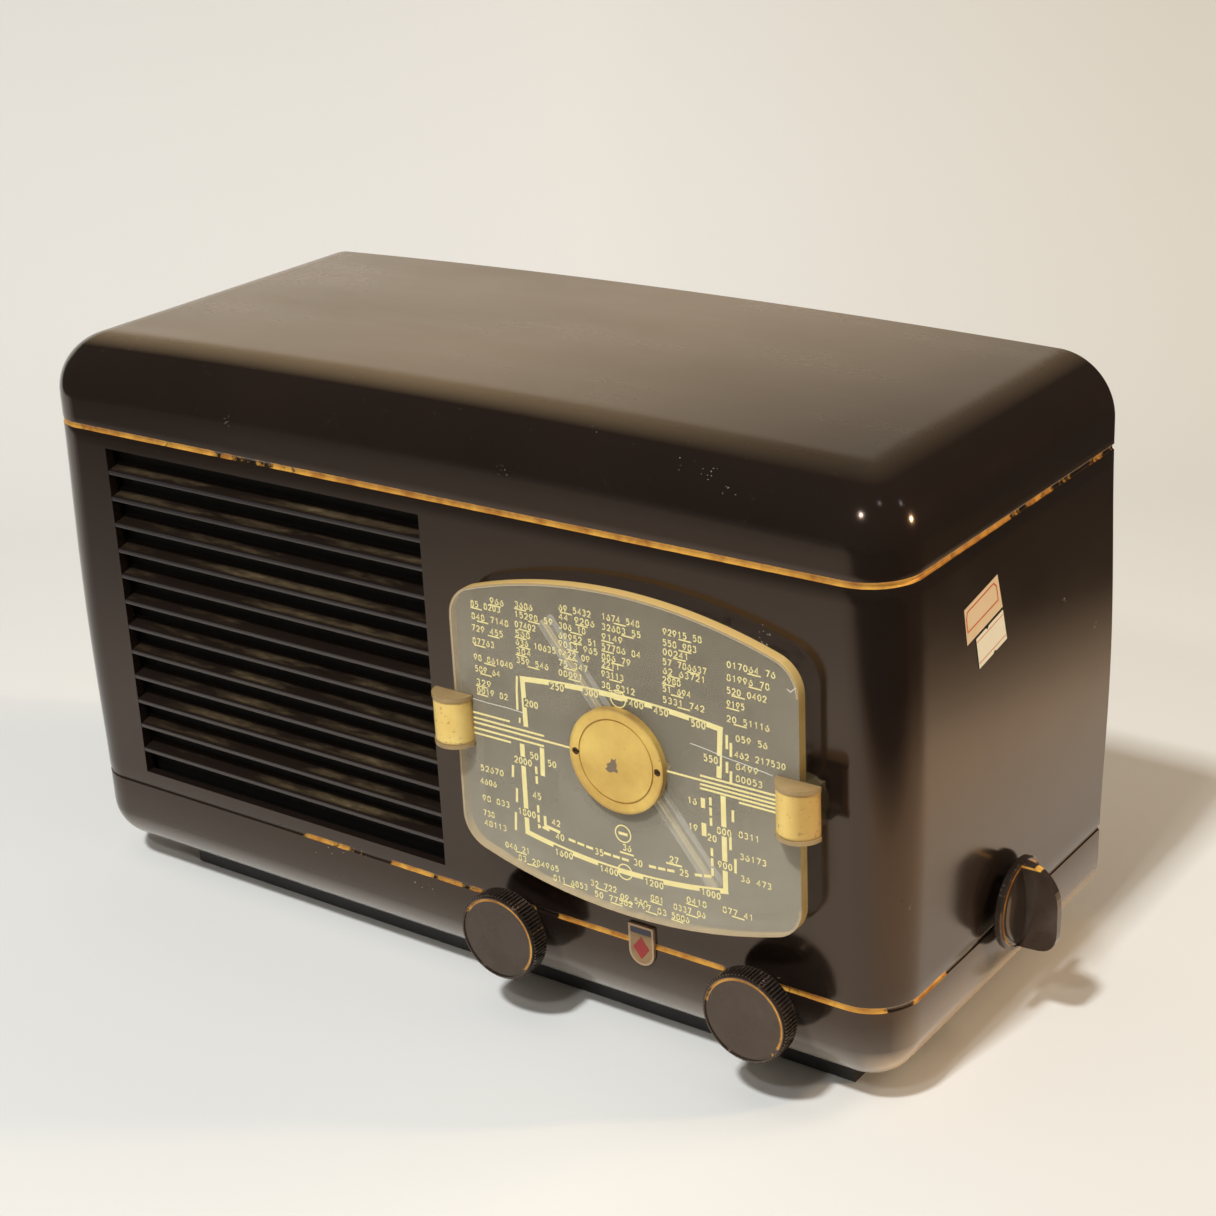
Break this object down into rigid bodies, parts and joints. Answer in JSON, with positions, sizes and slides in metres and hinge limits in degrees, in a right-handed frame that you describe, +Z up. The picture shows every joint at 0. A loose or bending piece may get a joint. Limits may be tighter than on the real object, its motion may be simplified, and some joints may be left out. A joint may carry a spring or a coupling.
{
  "type": "table radio receiver",
  "caption": "Moulded table radio with louvred speaker grille, clear dial plate, sweeping pointer, tuning and volume knobs and a side wave band knob.",
  "frame": {"origin": "on the surface the radio stands on, under the middle of the whole radio's width and depth with its knobs", "axes": "+X to the right along the front as a listener sees it, -Y out of the front, +Z up"},
  "size_m": [0.4035, 0.1788, 0.2306],
  "materials": {
    "bakelite": "glossy moulded, dark brown",
    "runner_black": "dull, near black",
    "brass": "worn",
    "grille_cloth": "woven, dark",
    "baffle_wood": "plain board",
    "screw_steel": "plain",
    "basket_steel": "satin grey",
    "cone_paper": "black felted",
    "magnet_iron": "satin",
    "dial_clear": "clear, slightly yellowed, cream scales",
    "cream_plastic": "yellowed cream",
    "holder_clear": "clear, yellowed",
    "pointer_clear": "clear with a cream line",
    "spindle_steel": "turned",
    "drum_plastic": "moulded",
    "drive_cord": "braided",
    "plate_aluminium": "satin",
    "chassis_steel": "plated, dull",
    "control_case": "satin",
    "wafer_board": "pressed board",
    "transformer_iron": "varnished",
    "valve_glass": "clear",
    "socket_black": "moulded",
    "socket_brown": "moulded",
    "cover_board": "pressed board"
  },
  "bodies": {
    "receiver": {"cabinet": "bakelite", "front_runner": "runner_black", "rear_runner": "runner_black", "badge": "brass", "grille_cloth": "grille_cloth", "speaker_baffle": "baffle_wood", "baffle_screws": "screw_steel", "speaker_frame": "basket_steel", "speaker_magnet": "magnet_iron", "speaker_bolts": "screw_steel", "dial_plate": "dial_clear", "dial_disc": "cream_plastic", "disc_screws": "brass", "left_holder": "holder_clear", "right_holder": "holder_clear", "left_holder_cover": "cream_plastic", "right_holder_cover": "cream_plastic", "holder_nuts": "brass", "lamp_shells": "plate_aluminium", "left_lamp": "valve_glass", "right_lamp": "valve_glass", "pointer_bush": "brass", "drive_cord": "drive_cord", "capacitor_frame": "chassis_steel", "capacitor_stator": "plate_aluminium", "capacitor_bracket": "chassis_steel", "tuning_bush": "brass", "volume_control": "control_case", "band_switch": "wafer_board", "chassis": "chassis_steel", "chassis_bolts": "screw_steel", "mains_transformer": "transformer_iron", "output_transformer": "transformer_iron", "smoothing_capacitor": "plate_aluminium", "first_if_can": "plate_aluminium", "second_if_can": "plate_aluminium", "mixer_valve": "valve_glass", "if_valve": "valve_glass", "audio_valve": "valve_glass", "output_valve": "valve_glass", "rectifier_valve": "valve_glass", "valve_sockets": "socket_black", "aerial_sockets": "socket_brown", "mains_inlet": "socket_black", "rear_cover": "cover_board", "cover_screws": "screw_steel"},
    "tuning_control": {"tuning_knob": "bakelite", "tuning_spindle": "spindle_steel"},
    "dial_drive": {"pointer": "pointer_clear", "pointer_shaft": "spindle_steel", "drive_drum": "drum_plastic", "capacitor_rotor": "plate_aluminium"},
    "volume_wiper": {"volume_knob": "bakelite", "volume_spindle": "spindle_steel"},
    "band_selector": {"band_knob": "bakelite", "band_spindle": "spindle_steel"},
    "sound_cone": {"speaker_cone": "cone_paper"}
  },
  "joints": [
    {"name": "pointer_turn", "type": "hinge", "parent": "receiver", "child": "dial_drive", "pos_m": [0.0807, -0.07215, 0.1177], "axis": [0, 1, 0], "range_deg": [-50, 128]},
    {"name": "tuning_turn", "type": "hinge", "parent": "receiver", "child": "tuning_control", "pos_m": [0.1332, -0.07215, 0.0363], "axis": [0, 1, 0], "range_deg": [-486, 1243.5]},
    {"name": "volume_turn", "type": "hinge", "parent": "receiver", "child": "volume_wiper", "pos_m": [0.0282, -0.07215, 0.0363], "axis": [0, 1, 0], "range_deg": [-140, 140]},
    {"name": "band_turn", "type": "hinge", "parent": "receiver", "child": "band_selector", "pos_m": [0.1848, 0.01035, 0.0487], "axis": [1, 0, 0], "range_deg": [-30, 30]},
    {"name": "cone_travel", "type": "slide", "parent": "receiver", "child": "sound_cone", "axis": [0, 1, 0], "range_m": [-0.001, 0.001], "stiffness_N_per_m": 1500}
  ],
  "couplings": [
    {"joint": "tuning_turn", "follows": "pointer_turn", "ratio": 9.71}
  ]
}
